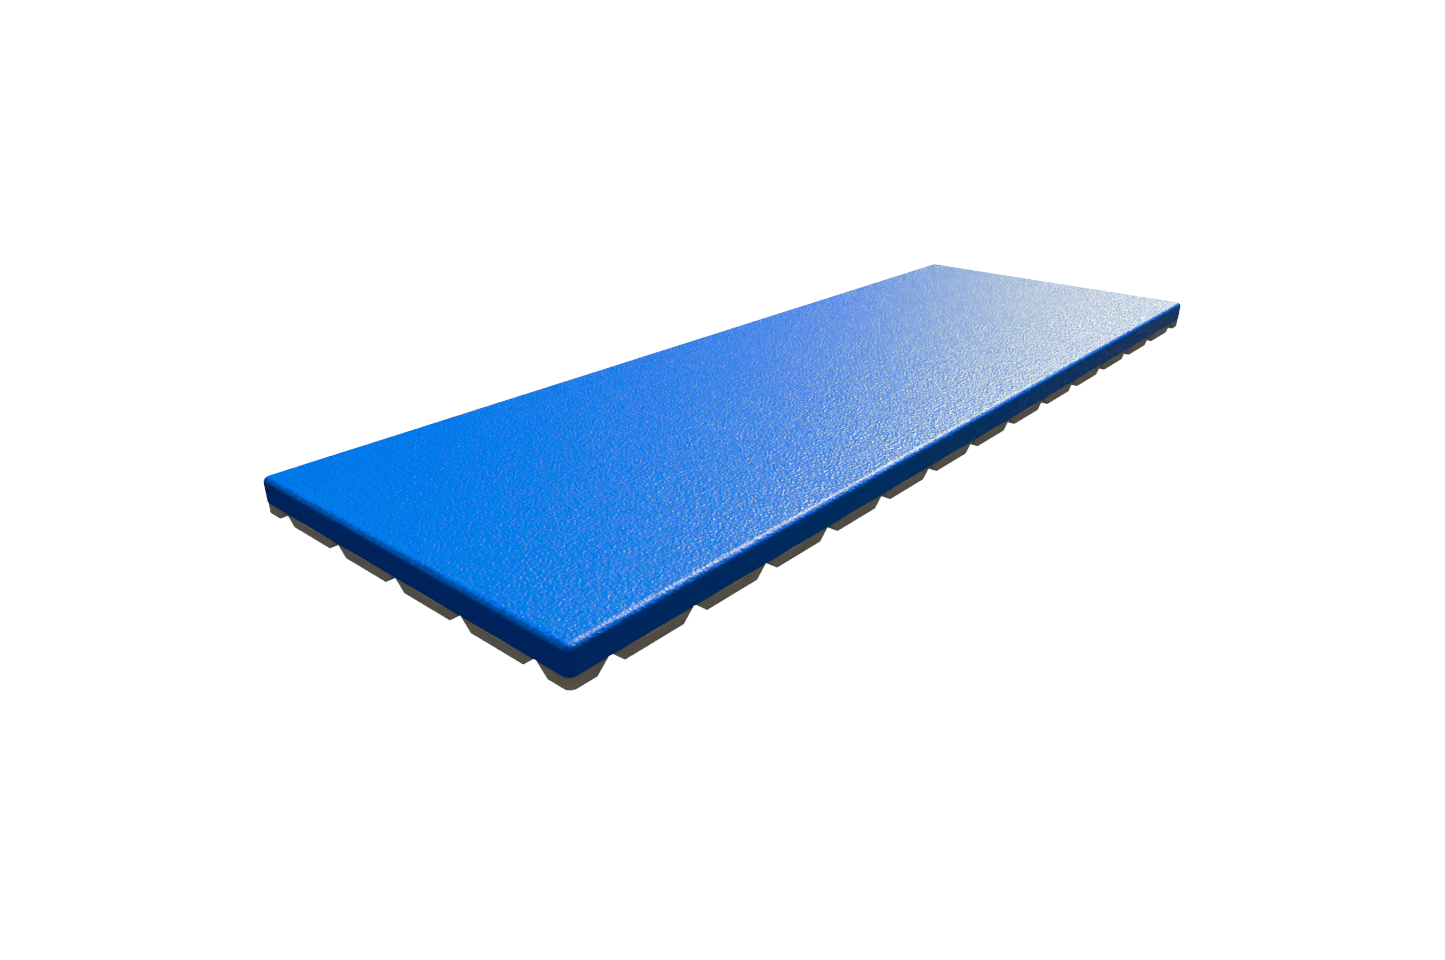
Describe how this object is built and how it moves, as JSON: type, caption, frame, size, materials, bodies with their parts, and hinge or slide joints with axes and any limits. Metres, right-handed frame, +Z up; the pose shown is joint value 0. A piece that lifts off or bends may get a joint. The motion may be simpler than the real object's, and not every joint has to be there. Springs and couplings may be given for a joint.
{
  "type": "resilient pool deck slab",
  "caption": "Flat rectangular foam slab in a grained blue elastomer skin with rounded top edges, on a base of foam feet parted by V-shaped drainage grooves.",
  "frame": {"origin": "on the ground, below the middle of the slab", "axes": "+X along the length, away from the end with the vent; +Y across the width; +Z up"},
  "size_m": [2, 0.7, 0.06],
  "materials": {
    "skin": "glossy elastomer with a coarse orange-peel grain on top and smoother sides",
    "sheet": "satin elastomer sheet",
    "core": "dark closed-cell foam",
    "feet": "matt fine-celled foam with cut faces"
  },
  "bodies": {
    "root": {"top_skin": "skin", "bottom_sheet": "sheet", "core_slab": "core", "foot_pair_01_front": "feet", "foot_pair_01_middle": "feet", "foot_pair_01_back": "feet", "foot_pair_02_front": "feet", "foot_pair_02_middle": "feet", "foot_pair_02_back": "feet", "foot_pair_03_front": "feet", "foot_pair_03_middle": "feet", "foot_pair_03_back": "feet", "foot_pair_04_front": "feet", "foot_pair_04_middle": "feet", "foot_pair_04_back": "feet", "foot_pair_05_front": "feet", "foot_pair_05_middle": "feet", "foot_pair_05_back": "feet", "foot_pair_06_front": "feet", "foot_pair_06_middle": "feet", "foot_pair_06_back": "feet", "foot_pair_07_front": "feet", "foot_pair_07_middle": "feet", "foot_pair_07_back": "feet", "foot_pair_08_front": "feet", "foot_pair_08_middle": "feet", "foot_pair_08_back": "feet", "foot_pair_09_front": "feet", "foot_pair_09_middle": "feet", "foot_pair_09_back": "feet", "foot_pair_10_front": "feet", "foot_pair_10_middle": "feet", "foot_pair_10_back": "feet", "foot_pair_11_front": "feet", "foot_pair_11_middle": "feet", "foot_pair_11_back": "feet", "foot_pair_12_front": "feet", "foot_pair_12_middle": "feet", "foot_pair_12_back": "feet", "foot_pair_13_front": "feet", "foot_pair_13_middle": "feet", "foot_pair_13_back": "feet", "foot_pair_14_front": "feet", "foot_pair_14_middle": "feet", "foot_pair_14_back": "feet", "foot_pair_15_front": "feet", "foot_pair_15_middle": "feet", "foot_pair_15_back": "feet"}
  },
  "joints": []
}
